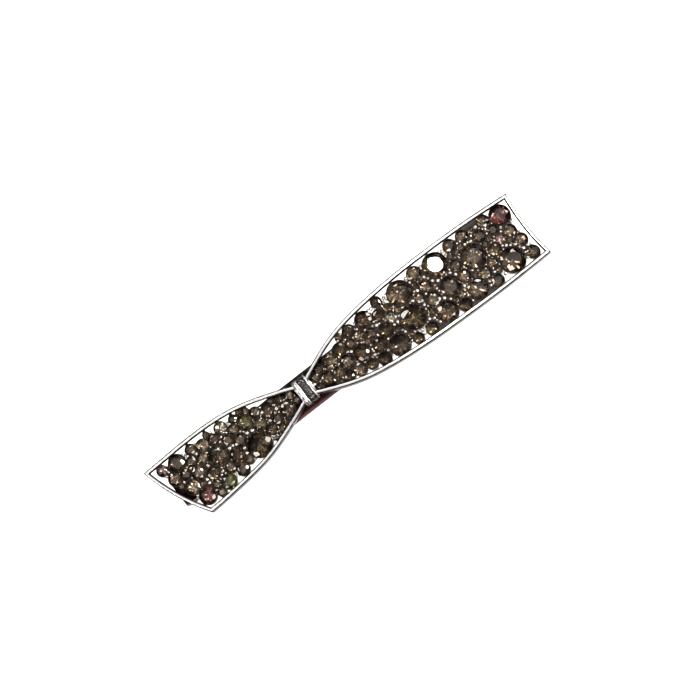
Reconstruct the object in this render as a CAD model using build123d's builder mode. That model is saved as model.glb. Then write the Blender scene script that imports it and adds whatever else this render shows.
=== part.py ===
"""Hair barrette: a cast metal bow set with round stones, soldered on a sprung snap clasp.

The bow and the clasp's back plate bend over one common centre below them. Heights over that
arch are called levels: level 0 is the back plate's outer face, levels above it point away
from the hair. X runs along the clasp, from the hinge at -X to the catch at +X, Y runs across
it and Z points away from the hair. Everything is in millimetres.
"""
import math
import os

import numpy as np
from build123d import *

os.makedirs("parts", exist_ok=True)

# The arch
ARCH_RADIUS = 165.0
PLATE_TOP = 8.8
ARCH_CENTRE = PLATE_TOP - ARCH_RADIUS

# The bow's plan
BOW_END = 41.15
LONG_LOBE_HALF = 7.15
SHORT_LOBE_HALF = 6.85
KNOT_X = -8.8
KNOT_WIDTH = 2.8
WAIST_HALF = 2.0
WAIST_SHOULDER = 0.15
LOBE_OPENING_ANGLE = 24.0
LOBE_CLOSING_SLOPE = 0.05
LONG_END_HALF = 6.7
LONG_END_HOLLOW = 0.5
SLANTED_END_TOP = (-BOW_END, 6.5)
SLANTED_END_MIDDLE = (-39.0, -0.3)
SLANTED_END_BOTTOM = (-35.4, -SHORT_LOBE_HALF)
RIM_WIDTH = 0.6
LONG_EDGE = 4.0
LONG_EDGE_STEPS = 8
RIM_LINE_STEPS = 900

# Levels of the bow's layers
FRAME_BOTTOM = 0.7
SEAT_TOP = 2.3
RIM_TOP = 3.2

# The stones: diameters of the trade sizes used, and their cut
STONE_DIAMETERS = {
    "ss2": 1.2, "ss4": 1.6, "ss6": 2.0, "ss8": 2.4, "ss10": 2.8, "ss12": 3.2, "ss16": 3.9, "ss20": 4.7,
}
TABLE_RATIO = 0.58
CROWN_RATIO = 0.30
GIRDLE_HEIGHT = 0.08
PAVILION_RATIO = 0.72
CULET_RATIO = 0.10
STONE_GAP = 0.05
SEAT_RIM = 0.12
SEAT_LEDGE = 0.2
SEAT_LIFT = 0.2
LARGEST_LEAN = 5.0
LEAN_STEPS = 5
GOLDEN_ANGLE = 137.5
BRIDGE_WIDTH = 0.6
BRIDGE_LENGTH = 1.5
BRIDGE_REACH = 0.75
RIM_REACH = 0.5
SMALLEST_GAP = 0.25
OPEN_GAP_REACH = 1.6

# The knot
BAND_THICKNESS = 0.32
BAND_CORNER = 0.9
KNOT_TURNS = 8
KNOT_WIRE = 0.28
WIRE_GAP = 0.01

# The back plate
PLATE_LENGTH = 77.2
PLATE_WIDTH = 6.8
PLATE_END_WIDTH = 5.2
PLATE_THICKNESS = 0.7
PLATE_TAPER_START = 30.0
PLATE_TAPER_END = 34.0
PLATE_CORNER = 0.9
THREAD_HOLE_RADIUS = 0.8
THREAD_HOLE_X = 29.0
PLATE_END = PLATE_LENGTH / 2
PAD_SIZE = (4.0, 4.6)
PAD_POSITIONS = (-24.0, -16.0, 6.0, 22.0)

# The hinge
PIN_X = -36.9
PIN_Z = 1.95
PIN_RADIUS = 0.6
PIN_HEAD_RADIUS = 0.85
PIN_HEAD_THICKNESS = 0.25
EAR_THICKNESS = 0.6
EAR_LENGTH = 3.1
EAR_CORNER = 0.8
HINGE_CLEARANCE = 0.05
KNUCKLE_RADIUS = 1.15
KNUCKLE_SIDE_GAP = 0.1

# The clasp arm
ARM_THICKNESS = 0.8
ARM_WIDTH = 5.4
ARM_TIP_WIDTH = 6.2
ARM_TIP_X = 37.1
ARM_END_BOTTOM = 1.2
ARM_RISE = 1.5
ARM_NECK_X = -34.4
ARM_SHOULDER_X = -31.5
ARM_TIP_START = 29.5
ARM_TIP_CORNER = 1.4
WINDOW_X = (31.9, 35.5)
WINDOW_HALF_WIDTH = 2.05

# The tension bar
BAR_THICKNESS = 0.4
BAR_WIDTH = 3.6
BAR_FREE_END = -33.6
BAR_BEND_X = 31.4
BAR_MIDDLE_TOP = 4.25
BAR_FREE_END_GAP = 0.03
BAR_BEND_GAP = 0.05
BAR_BEND_REACH = 0.2
BAR_FLAT_REACH = 0.3

# The catch
CATCH_X = (32.3, 36.6)
CATCH_WEB_THICKNESS = 0.5
LEG_THICKNESS = 0.5
LEG_OUTER_Y = 1.7
LEG_X = (32.4, 34.8)
LEG_PIVOT_Z = 2.7
LEG_ROUND = LEG_THICKNESS / 2
SPLIT_GAP = 0.02
LUG_ROOT = 0.1
BRIDGE_BOTTOM = 2.35
TAB_X = (37.6, 38.4)
TAB_BOTTOM = 0.5
TAB_SPREAD = 1.3
BARB_REACH = 0.25
BARB_Z = (0.1, 0.75, 0.9)
BARB_INSET = 0.3
RIVET_X = 34.4
RIVET_RADIUS = 0.7
RIVET_HEAD_RADIUS = 1.05
RIVET_TOP_HEAD = 0.35
RIVET_BOTTOM_HEAD = 0.45
RIVET_HEAD_GAP = 0.005

BLANK_HEIGHT = 20.0
BLANK_HALF_WIDTH = 12.0


def arch_height(x, level):
    """Height of a level of the arch at x."""
    return ARCH_CENTRE + math.sqrt((ARCH_RADIUS + level) ** 2 - x**2)


def arch_angle(x, level=0.0):
    """Angle in degrees between the arch's outward normal at x and the Z axis."""
    return math.degrees(math.asin(x / (ARCH_RADIUS + level)))


def arch_plane(x, level):
    """Plane tangent to a level of the arch at x, its normal pointing away from the hair."""
    turn = math.radians(arch_angle(x, level))
    return Plane(
        origin=(x, 0, arch_height(x, level)),
        x_dir=(math.cos(turn), 0, -math.sin(turn)),
        z_dir=(math.sin(turn), 0, math.cos(turn)),
    )


def arch_slab(low, high, start, end):
    """Solid between two levels of the arch, from x = start to x = end."""
    middle = (start + end) / 2
    with BuildPart() as slab:
        with BuildSketch(Plane.XZ):
            with BuildLine():
                for level in (low, high):
                    ThreePointArc(
                        (start, arch_height(start, level)),
                        (middle, arch_height(middle, level)),
                        (end, arch_height(end, level)),
                    )
                for x in (start, end):
                    Line((x, arch_height(x, low)), (x, arch_height(x, high)))
            make_face()
        extrude(amount=BLANK_HALF_WIDTH, both=True)
    return slab.part


# ---------------------------------------------------------------- the bow's plan

def long_lobe_edge(side):
    """Points of the long lobe's edge, from the knot to its end."""
    return [
        (KNOT_X + KNOT_WIDTH / 2, side * WAIST_HALF),
        (0.3, side * 5.0),
        (9.2, side * 6.5),
        (18.1, side * 7.05),
        (27.0, side * LONG_LOBE_HALF),
        (BOW_END, side * LONG_END_HALF),
    ]


def short_lobe_edge(side):
    """Points of the short lobe's edge, from the knot to its slanted end."""
    return [
        (KNOT_X - KNOT_WIDTH / 2, side * WAIST_HALF),
        (-14.0, side * 3.5),
        (-21.0, side * 5.65),
        (-28.0, side * 6.5),
        SLANTED_END_TOP if side > 0 else SLANTED_END_BOTTOM,
    ]


opening = math.radians(LOBE_OPENING_ANGLE)
with BuildSketch() as bow_plan:
    with BuildLine() as bow_edge:
        for side in (1, -1):
            right = long_lobe_edge(side)
            left = short_lobe_edge(side)
            Line(left[0], right[0])
            right_end = (1, -side * LOBE_CLOSING_SLOPE)
            Spline(*right, tangents=[(math.cos(opening), side * math.sin(opening)), right_end])
            Spline(*left, tangents=[(-math.cos(opening), side * math.sin(opening)), (-1, 0)])
        ThreePointArc(
            (BOW_END, -LONG_END_HALF),
            (BOW_END - LONG_END_HOLLOW, 0),
            (BOW_END, LONG_END_HALF),
        )
        ThreePointArc(SLANTED_END_TOP, SLANTED_END_MIDDLE, SLANTED_END_BOTTOM)
    make_face()

with BuildSketch() as inset_plan:
    add(bow_plan.sketch)
    offset(amount=-RIM_WIDTH)

# The rim's inner edge is the same inset line, redrawn with plain curves.
with BuildSketch() as bow_inside:
    with BuildLine():
        for edge in inset_plan.edges():
            if edge.length > LONG_EDGE:
                Spline(*[edge @ (step / LONG_EDGE_STEPS) for step in range(LONG_EDGE_STEPS + 1)])
            else:
                Line(edge @ 0, edge @ 1)
    make_face()

# ---------------------------------------------------------------- where the stones sit

# Stones set by hand: the large ones, and the rows along the rims that leave gaps beside them.
# Each is a size, then its place along and across the bow.
CHOSEN_STONES = [
    ("ss20", 15.0, 3.6),
    ("ss20", 14.4, -1.3),
    ("ss20", 23.1, 3.8),
    ("ss20", 34.8, -3.7),
    ("ss20", 29.6, 0.9),
    ("ss20", -21.2, -2.5),
    ("ss16", 9.5, -3.8),
    ("ss16", 19.9, -4.2),
    ("ss16", 26.6, -4.3),
    ("ss16", 37.9, 4.2),
    ("ss16", 23.0, -0.9),
    ("ss16", -28.3, 0.5),
    ("ss12", 7.0, 3.7),
    ("ss12", 3.3, -0.9),
    ("ss12", -35.2, 4.2),
    ("ss12", -34.2, -3.9),
    ("ss10", 19.2, 4.8),
    ("ss8", 26.2, -0.9),
    ("ss8", 38.7, -4.7),
    ("ss8", 1.3, -3.0),
    ("ss10", -29.6, -4.3),
    ("ss10", -21.0, 2.2),
    ("ss10", -32.9, 0.3),
    ("ss8", 3.7, 3.7),
    ("ss8", 27.3, 5.1),
    ("ss8", 30.1, 5.1),
    ("ss8", 32.6, 3.3),
    ("ss8", 34.8, 5.1),
    ("ss8", 19.4, 1.8),
    ("ss8", 5.9, -4.2),
    ("ss8", 15.9, -5.0),
    ("ss8", 23.2, -5.2),
    ("ss8", 30.4, -5.1),
    ("ss8", -25.1, 4.2),
    ("ss8", 38.3, -1.6),
    ("ss6", 10.7, 4.9),
    ("ss6", 12.9, -4.9),
    ("ss6", 35.4, 0.6),
    ("ss6", -38.2, 4.8),
    ("ss4", -13.8, 1.6),
]
# The sizes set in turn in the places left between them, over and over while they still fit
FILL_ORDER = ["ss10", "ss8", "ss6", "ss8", "ss6", "ss6"]
FILL_ROUNDS = 12
# The sizes set last, each until no more of it fits
LAST_FILL = ["ss6", "ss4", "ss2"]
FILL_STEP = 0.1
NEIGHBOURS = 3
# The least room between a stone that fills a place and the rim's inner edge
LONG_LOBE_RIM_GAP = 0.75
SHORT_LOBE_RIM_GAP = 0.1
SLANTED_END_RIM_GAP = 0.7
SLANTED_END_ZONE = -33.0
# The stretch beside the knot where the stones reach the rim on both lobes
LOBE_ROOTS = (-6.2, 6.8)

rim_line = bow_inside.faces()[0].outer_wire()
rim_line_points = [rim_line @ (step / RIM_LINE_STEPS) for step in range(RIM_LINE_STEPS)]
rim_x = np.array([point.X for point in rim_line_points])
rim_y = np.array([point.Y for point in rim_line_points])


def rim_distance(x, y):
    """Distance from points to the rim's inner edge."""
    return np.hypot(np.subtract.outer(x, rim_x), np.subtract.outer(y, rim_y)).min(axis=-1)


def inside_rim(x, y):
    """Whether points lie inside the rim, by counting the times that it crosses a ray."""
    next_x = np.roll(rim_x, -1)
    next_y = np.roll(rim_y, -1)
    spans = (rim_y > y[:, None]) != (next_y > y[:, None])
    rise = np.where(next_y == rim_y, 1.0, next_y - rim_y)
    crossing_x = rim_x + (next_x - rim_x) * (y[:, None] - rim_y) / rise
    return (spans & (x[:, None] < crossing_x)).sum(axis=1) % 2 == 1


def free_places():
    """Grid points inside the rim and off the knot, with the largest radius the rim allows."""
    across, along = np.meshgrid(
        np.arange(-LONG_LOBE_HALF, LONG_LOBE_HALF, FILL_STEP),
        np.arange(-BOW_END, BOW_END, FILL_STEP),
    )
    x = along.ravel()
    y = across.ravel()
    kept = inside_rim(x, y)
    x = x[kept]
    y = y[kept]
    rim_gap = np.where(x > KNOT_X, LONG_LOBE_RIM_GAP, SHORT_LOBE_RIM_GAP)
    rim_gap = np.where(x < SLANTED_END_ZONE, SLANTED_END_RIM_GAP, rim_gap)
    rim_gap = np.where((x > LOBE_ROOTS[0]) & (x < LOBE_ROOTS[1]), SHORT_LOBE_RIM_GAP, rim_gap)
    to_knot = np.abs(x - KNOT_X) - KNOT_WIDTH / 2 - WAIST_SHOULDER
    return x, y, np.minimum(rim_distance(x, y) - rim_gap, to_knot)


def place_stones():
    """The chosen stones, then smaller ones nestled into the places between them."""
    x, y, room = free_places()
    placed = list(CHOSEN_STONES)
    clearances = [np.hypot(x - px, y - py) - STONE_DIAMETERS[size] / 2 for size, px, py in placed]
    nearest = np.sort(clearances, axis=0)[:NEIGHBOURS]
    order = [(size, False) for size in FILL_ORDER * FILL_ROUNDS]
    order += [(size, True) for size in LAST_FILL]
    for size, until_full in order:
        radius = STONE_DIAMETERS[size] / 2
        while True:
            fits = (room >= radius) & (nearest[0] >= radius + STONE_GAP)
            if not fits.any():
                break
            looseness = np.where(fits, nearest.sum(axis=0), np.inf)
            best = int(looseness.argmin())
            placed.append((size, float(x[best]), float(y[best])))
            clearance = np.hypot(x - x[best], y - y[best]) - radius
            nearest = np.sort(np.vstack([nearest, clearance]), axis=0)[:NEIGHBOURS]
            if not until_full:
                break
    return placed


stones = place_stones()

# ---------------------------------------------------------------- the cast bow frame


def stone_circles(extra):
    """Add a circle at every stone, its radius larger than the stone's by extra."""
    for size, diameter in STONE_DIAMETERS.items():
        centres = [(x, y) for stone, x, y in stones if stone == size]
        if centres:
            with Locations(*centres):
                Circle(diameter / 2 + extra)


def seat_bridges():
    """Places of the short bars that join each seat to the seats and the rim beside it."""
    places = []
    for index, (size, x, y) in enumerate(stones):
        radius = STONE_DIAMETERS[size] / 2
        for other, ox, oy in stones[:index]:
            span = math.hypot(ox - x, oy - y)
            gap = span - radius - STONE_DIAMETERS[other] / 2
            if gap < BRIDGE_REACH:
                share = (radius + gap / 2) / span
                middle = (x + (ox - x) * share, y + (oy - y) * share, 0)
                places.append(Location(middle, (0, 0, math.degrees(math.atan2(oy - y, ox - x)))))
        to_rim = np.hypot(rim_x - x, rim_y - y)
        nearest = int(to_rim.argmin())
        if to_rim[nearest] - radius < RIM_REACH:
            turn = math.atan2(rim_y[nearest] - y, rim_x[nearest] - x)
            reach = (to_rim[nearest] + radius) / 2
            middle = (x + reach * math.cos(turn), y + reach * math.sin(turn), 0)
            places.append(Location(middle, (0, 0, math.degrees(turn))))
    return places


FRAME_REACH = BOW_END + 1
rim_slab = arch_slab(FRAME_BOTTOM, RIM_TOP, -FRAME_REACH, FRAME_REACH)

with BuildSketch() as waist_plan:
    with Locations((KNOT_X, 0)):
        Rectangle(KNOT_WIDTH + 2 * WAIST_SHOULDER, 2 * WAIST_HALF)

with BuildSketch() as seat_plan:
    stone_circles(SEAT_RIM)
    with Locations(*seat_bridges()):
        Rectangle(BRIDGE_LENGTH, BRIDGE_WIDTH)
    add(waist_plan.sketch)

with BuildSketch() as seat_holes:
    stone_circles(-SEAT_LEDGE)

# Between the stones the casting is closed, but it is open beside the rim.
with BuildSketch() as gap_plan:
    add(bow_inside.sketch)
    add(seat_plan.sketch, mode=Mode.SUBTRACT)
open_gaps = [
    face
    for face in gap_plan.faces()
    if face.area > SMALLEST_GAP and rim_distance(face.center().X, face.center().Y) < OPEN_GAP_REACH
]

with BuildPart() as stone_pocket:
    with BuildSketch():
        add(bow_inside.sketch)
        add(waist_plan.sketch, mode=Mode.SUBTRACT)
    extrude(amount=BLANK_HEIGHT)
    add(arch_slab(SEAT_TOP, RIM_TOP + 1, -FRAME_REACH, FRAME_REACH), mode=Mode.INTERSECT)

with BuildPart() as bow_frame:
    with BuildSketch():
        add(bow_plan.sketch)
    extrude(amount=BLANK_HEIGHT)
    add(rim_slab, mode=Mode.INTERSECT)
    add(stone_pocket.part, mode=Mode.SUBTRACT)
    extrude([*open_gaps, *seat_holes.faces()], amount=BLANK_HEIGHT, dir=(0, 0, 1), mode=Mode.SUBTRACT)

with BuildPart() as waist_core:
    with BuildSketch():
        add(waist_plan.sketch)
    extrude(amount=BLANK_HEIGHT)
    add(rim_slab, mode=Mode.INTERSECT)

# ---------------------------------------------------------------- the stones

# Each lobe's stones of one size are one group of separate pieces.
LOBES = {"long": (KNOT_X, BOW_END), "short": (-BOW_END, KNOT_X)}


def stone_location(index, x, y, radius):
    """Place of a stone on the arch, leaning a little its own way, its girdle at the origin."""
    lean = LARGEST_LEAN * (index % LEAN_STEPS) / (LEAN_STEPS - 1)
    heading = math.radians(GOLDEN_ANGLE * index)
    lift = SEAT_LIFT + radius * math.sin(math.radians(lean))
    on_arch = Location((x, y, arch_height(x, SEAT_TOP)), (0, arch_angle(x, SEAT_TOP), 0))
    leaning = Location((0, 0, lift), (lean * math.cos(heading), lean * math.sin(heading), 0))
    return on_arch * leaning


def cut_stone(diameter):
    """One round stone with a flat table, a bevelled crown, a thin girdle and a pointed back."""
    radius = diameter / 2
    half_girdle = GIRDLE_HEIGHT / 2
    with BuildPart() as stone:
        with BuildSketch(Plane.XZ):
            with BuildLine():
                Polyline(
                    (0, -PAVILION_RATIO * radius),
                    (CULET_RATIO * radius, -PAVILION_RATIO * radius),
                    (radius, -half_girdle),
                    (radius, half_girdle),
                    (TABLE_RATIO * radius, CROWN_RATIO * radius + half_girdle),
                    (0, CROWN_RATIO * radius + half_girdle),
                    close=True,
                )
            make_face()
        revolve()
    return stone.part


stone_groups = {}
for lobe, (start, end) in LOBES.items():
    for size, diameter in STONE_DIAMETERS.items():
        places = [
            stone_location(index, x, y, diameter / 2)
            for index, (stone, x, y) in enumerate(stones)
            if stone == size and start < x < end
        ]
        if places:
            one_stone = cut_stone(diameter)
            with BuildPart() as group:
                with Locations(*places):
                    add(one_stone)
            group.part.label = f"stones_{size}_{lobe}"
            stone_groups[group.part.label] = group.part

# ---------------------------------------------------------------- the knot

KNOT_PLANE = Plane(
    origin=arch_plane(KNOT_X, (FRAME_BOTTOM + RIM_TOP) / 2).origin,
    x_dir=(0, 1, 0),
    z_dir=arch_plane(KNOT_X, 0).x_dir,
)
BAND_WIDTH_Y = 2 * (WAIST_HALF + BAND_THICKNESS)
BAND_HEIGHT = RIM_TOP - FRAME_BOTTOM + 2 * BAND_THICKNESS

with BuildPart() as knot_band:
    with BuildSketch(KNOT_PLANE):
        RectangleRounded(BAND_WIDTH_Y, BAND_HEIGHT, BAND_CORNER)
    extrude(amount=KNOT_WIDTH / 2, both=True)
    add(waist_core.part, mode=Mode.SUBTRACT)
knot_band.part.label = "knot_band"

turn_pitch = (KNOT_WIDTH - KNOT_WIRE) / (KNOT_TURNS - 1)
wire_offset = KNOT_WIRE / 2 + WIRE_GAP
with BuildSketch(KNOT_PLANE) as wire_loop:
    RectangleRounded(
        BAND_WIDTH_Y + 2 * wire_offset,
        BAND_HEIGHT + 2 * wire_offset,
        BAND_CORNER + wire_offset,
    )
wire_path = wire_loop.sketch.faces()[0].outer_wire()

with BuildPart() as wire_turn:
    with BuildSketch(Plane(origin=wire_path @ 0, z_dir=wire_path % 0)):
        Circle(KNOT_WIRE / 2)
    sweep(path=wire_path)

turn_steps = [turn_pitch * (index - (KNOT_TURNS - 1) / 2) for index in range(KNOT_TURNS)]
with BuildPart() as knot_wire:
    with Locations(*[Location(KNOT_PLANE.z_dir * step) for step in turn_steps]):
        add(wire_turn.part)
knot_wire.part.label = "knot_wire"

# ---------------------------------------------------------------- the back plate

RIVET_PLANE = arch_plane(RIVET_X, 0)

upper_taper = [
    (PLATE_TAPER_END, PLATE_END_WIDTH / 2),
    (PLATE_TAPER_START, PLATE_WIDTH / 2),
    (-PLATE_TAPER_START, PLATE_WIDTH / 2),
    (-PLATE_TAPER_END, PLATE_END_WIDTH / 2),
]
lower_taper = [(-x, -y) for x, y in upper_taper]

with BuildPart() as ear_blank:
    with BuildSketch(Plane.XZ):
        with BuildLine():
            ear_start = -PLATE_END
            ear_end = ear_start + EAR_LENGTH
            Polyline(
                (ear_start, arch_height(ear_start, -PLATE_THICKNESS / 2)),
                (ear_start, EAR_CORNER),
                (ear_start + EAR_CORNER, 0),
                (ear_end - EAR_CORNER, 0),
                (ear_end, EAR_CORNER),
                (ear_end, arch_height(ear_end, -PLATE_THICKNESS / 2)),
                close=True,
            )
        make_face()
        with Locations((PIN_X, PIN_Z)):
            Circle(PIN_RADIUS, mode=Mode.SUBTRACT)
    extrude(amount=PLATE_END_WIDTH / 2, both=True)
    with Locations((PIN_X, 0, 0)):
        Box(PLATE_LENGTH, PLATE_END_WIDTH - 2 * EAR_THICKNESS, BLANK_HEIGHT, mode=Mode.SUBTRACT)

plate_slab = arch_slab(-PLATE_THICKNESS, 0, -PLATE_END - 1, PLATE_END + 1)
with BuildPart() as back_plate:
    with BuildSketch():
        RectangleRounded(PLATE_LENGTH, PLATE_END_WIDTH, PLATE_CORNER)
        Polygon(*upper_taper, *lower_taper, align=None)
        with Locations((THREAD_HOLE_X, 0), (-THREAD_HOLE_X, 0)):
            Circle(THREAD_HOLE_RADIUS, mode=Mode.SUBTRACT)
    extrude(amount=BLANK_HEIGHT)
    add(plate_slab, mode=Mode.INTERSECT)
    add(ear_blank.part)
    with BuildSketch(RIVET_PLANE):
        Circle(RIVET_RADIUS)
    extrude(amount=BLANK_HEIGHT / 4, both=True, mode=Mode.SUBTRACT)
back_plate.part.label = "back_plate"

with BuildPart() as solder_pads:
    with BuildSketch():
        with Locations(*[(x, 0) for x in PAD_POSITIONS]):
            Rectangle(*PAD_SIZE)
    extrude(amount=BLANK_HEIGHT)
    add(arch_slab(0, FRAME_BOTTOM, -PLATE_END, PLATE_END), mode=Mode.INTERSECT)
solder_pads.part.label = "solder_pads"

# ---------------------------------------------------------------- the hinge

with BuildPart() as hinge_pin:
    with BuildSketch(Plane.XZ):
        with Locations((PIN_X, PIN_Z)):
            Circle(PIN_RADIUS)
    extrude(amount=PLATE_END_WIDTH / 2, both=True)
    for side in (1, -1):
        with BuildSketch(Plane.XZ.offset(side * PLATE_END_WIDTH / 2)):
            with Locations((PIN_X, PIN_Z)):
                Circle(PIN_HEAD_RADIUS)
        extrude(amount=side * PIN_HEAD_THICKNESS)
hinge_pin.part.label = "hinge_pin"

# ---------------------------------------------------------------- the clasp arm

ARM_HINGE_WIDTH = PLATE_END_WIDTH - 2 * EAR_THICKNESS - 2 * KNUCKLE_SIDE_GAP
arm_curve = [
    (PIN_X, ARM_END_BOTTOM),
    ((PIN_X + ARM_TIP_X) / 2, ARM_END_BOTTOM + ARM_RISE),
    (ARM_TIP_X, ARM_END_BOTTOM),
]

with BuildPart() as arm_strip:
    with BuildSketch(Plane.XZ):
        with BuildLine():
            ThreePointArc(*arm_curve)
            ThreePointArc(*[(x, z + ARM_THICKNESS) for x, z in arm_curve])
            for x, z in (arm_curve[0], arm_curve[-1]):
                Line((x, z), (x, z + ARM_THICKNESS))
        make_face()
    extrude(amount=BLANK_HALF_WIDTH, both=True)

arm_upper_edge = [
    (PIN_X, ARM_HINGE_WIDTH / 2),
    (ARM_NECK_X, ARM_HINGE_WIDTH / 2),
    (ARM_SHOULDER_X, ARM_WIDTH / 2),
    (ARM_TIP_START, ARM_WIDTH / 2),
    (WINDOW_X[0] - 1, ARM_TIP_WIDTH / 2),
    (ARM_TIP_X - ARM_TIP_CORNER, ARM_TIP_WIDTH / 2),
    (ARM_TIP_X, ARM_TIP_WIDTH / 2 - ARM_TIP_CORNER),
]
arm_lower_edge = [(x, -y) for x, y in reversed(arm_upper_edge)]

with BuildPart() as clasp_arm:
    with BuildSketch():
        Polygon(*arm_upper_edge, *arm_lower_edge, align=None)
        with Locations((sum(WINDOW_X) / 2, 0)):
            Rectangle(WINDOW_X[1] - WINDOW_X[0], 2 * WINDOW_HALF_WIDTH, mode=Mode.SUBTRACT)
    extrude(amount=BLANK_HEIGHT)
    add(arm_strip.part, mode=Mode.INTERSECT)
    with BuildSketch(Plane.XZ):
        with Locations((PIN_X, PIN_Z)):
            Circle(KNUCKLE_RADIUS)
    extrude(amount=ARM_HINGE_WIDTH / 2, both=True)
    with BuildSketch(Plane.XZ):
        with Locations((PIN_X, PIN_Z)):
            Circle(PIN_RADIUS + HINGE_CLEARANCE)
    extrude(amount=BLANK_HALF_WIDTH, both=True, mode=Mode.SUBTRACT)
clasp_arm.part.label = "clasp_arm"

# ---------------------------------------------------------------- the tension bar

bar_end = BAR_BEND_X + BAR_BEND_REACH
bar_curve = [
    (BAR_FREE_END, arch_height(BAR_FREE_END, -PLATE_THICKNESS) - BAR_FREE_END_GAP),
    (0, BAR_MIDDLE_TOP),
    (bar_end, arch_height(bar_end, -PLATE_THICKNESS) - BAR_BEND_GAP),
]
WEB_TOP = -PLATE_THICKNESS - BAR_THICKNESS
WEB_BOTTOM = WEB_TOP - CATCH_WEB_THICKNESS

with BuildPart() as tension_bar:
    with BuildSketch(Plane.XZ):
        with BuildLine():
            ThreePointArc(*bar_curve)
            ThreePointArc(*[(x, z - BAR_THICKNESS) for x, z in bar_curve])
            for x, z in (bar_curve[0], bar_curve[-1]):
                Line((x, z), (x, z - BAR_THICKNESS))
        make_face()
    extrude(amount=BLANK_HALF_WIDTH, both=True)
    add(arch_slab(WEB_TOP, -PLATE_THICKNESS, BAR_BEND_X - BAR_FLAT_REACH, CATCH_X[1]))
    with BuildSketch():
        with Locations(((BAR_FREE_END + CATCH_X[1]) / 2, 0)):
            RectangleRounded(CATCH_X[1] - BAR_FREE_END, BAR_WIDTH, BAR_WIDTH / 4)
    extrude(amount=BLANK_HEIGHT, mode=Mode.INTERSECT)
    with BuildSketch(RIVET_PLANE):
        Circle(RIVET_RADIUS)
    extrude(amount=BLANK_HEIGHT / 4, both=True, mode=Mode.SUBTRACT)
tension_bar.part.label = "tension_bar"

# ---------------------------------------------------------------- the catch

LEG_INNER_Y = LEG_OUTER_Y - LEG_THICKNESS
LEG_MIDDLE_Y = LEG_OUTER_Y - LEG_THICKNESS / 2
LUG_BOTTOM = LEG_PIVOT_Z + LEG_ROUND + SPLIT_GAP

with BuildPart() as catch_base:
    with BuildSketch():
        with Locations((sum(CATCH_X) / 2, 0)):
            Rectangle(CATCH_X[1] - CATCH_X[0], 2 * LEG_OUTER_Y)
    extrude(amount=BLANK_HEIGHT)
    add(arch_slab(WEB_BOTTOM, WEB_TOP, CATCH_X[0] - 1, CATCH_X[1] + 1), mode=Mode.INTERSECT)
    for side in (1, -1):
        with BuildSketch(Plane.XZ.offset(-side * LEG_INNER_Y)):
            Polygon(
                (LEG_X[0], LUG_BOTTOM),
                (CATCH_X[1], LUG_BOTTOM),
                (CATCH_X[1], arch_height(CATCH_X[1], WEB_BOTTOM) + LUG_ROOT),
                (LEG_X[0], arch_height(LEG_X[0], WEB_BOTTOM) + LUG_ROOT),
                align=None,
            )
        extrude(amount=-side * LEG_THICKNESS)
    with BuildSketch(RIVET_PLANE):
        Circle(RIVET_RADIUS)
    extrude(amount=BLANK_HEIGHT / 4, both=True, mode=Mode.SUBTRACT)
catch_base.part.label = "catch_base"


def catch_leg(side):
    """Spring leg of the catch: hooked through the arm's window, with a finger tab beyond it."""
    with BuildPart() as leg:
        with BuildSketch(Plane.XZ.offset(-side * LEG_INNER_Y)):
            with BuildLine():
                Polyline(
                    (LEG_X[0], 0),
                    (LEG_X[1], 0),
                    (LEG_X[1], BRIDGE_BOTTOM),
                    (TAB_X[0], BRIDGE_BOTTOM),
                    (TAB_X[0], TAB_BOTTOM),
                    (TAB_X[1], TAB_BOTTOM),
                    (TAB_X[1], LEG_PIVOT_Z),
                    (LEG_X[0], LEG_PIVOT_Z),
                    close=True,
                )
            make_face()
        extrude(amount=-side * LEG_THICKNESS)
        with BuildSketch(Plane.YZ.offset(LEG_X[0])):
            with Locations((side * LEG_MIDDLE_Y, LEG_PIVOT_Z)):
                Circle(LEG_ROUND)
        extrude(amount=TAB_X[1] - LEG_X[0])
        with BuildSketch(Plane.XY.offset(TAB_BOTTOM)):
            Polygon(
                (TAB_X[0], side * LEG_OUTER_Y),
                (TAB_X[1], side * LEG_OUTER_Y),
                (TAB_X[1] + TAB_SPREAD, side * (LEG_OUTER_Y + TAB_SPREAD)),
                (TAB_X[0] + TAB_SPREAD, side * (LEG_OUTER_Y + TAB_SPREAD)),
                align=None,
            )
        extrude(amount=LEG_PIVOT_Z - TAB_BOTTOM)
        with BuildSketch(Plane.YZ.offset(LEG_X[0] + BARB_INSET)):
            barb_low, barb_tip, barb_high = BARB_Z
            Polygon(
                (side * LEG_OUTER_Y, barb_low),
                (side * LEG_OUTER_Y, barb_high),
                (side * (LEG_OUTER_Y + BARB_REACH), barb_tip),
                align=None,
            )
        extrude(amount=LEG_X[1] - LEG_X[0] - 2 * BARB_INSET)
    return leg.part


catch_leg_rear = catch_leg(1)
catch_leg_rear.label = "catch_leg_rear"
catch_leg_front = catch_leg(-1)
catch_leg_front.label = "catch_leg_front"

with BuildPart() as catch_rivet:
    rivet_section = Plane(RIVET_PLANE.origin, x_dir=RIVET_PLANE.x_dir, z_dir=(0, -1, 0))
    bottom = WEB_BOTTOM - RIVET_HEAD_GAP
    with BuildSketch(rivet_section):
        with BuildLine():
            Polyline(
                (0, RIVET_HEAD_GAP + RIVET_TOP_HEAD),
                (RIVET_HEAD_RADIUS, RIVET_HEAD_GAP + RIVET_TOP_HEAD),
                (RIVET_HEAD_RADIUS, RIVET_HEAD_GAP),
                (RIVET_RADIUS, RIVET_HEAD_GAP),
                (RIVET_RADIUS, bottom),
                (RIVET_HEAD_RADIUS, bottom),
                (RIVET_HEAD_RADIUS, bottom - RIVET_BOTTOM_HEAD),
                (0, bottom - RIVET_BOTTOM_HEAD),
                close=True,
            )
        make_face()
    revolve(axis=Axis(RIVET_PLANE.origin, RIVET_PLANE.z_dir))
catch_rivet.part.label = "catch_rivet"

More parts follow.
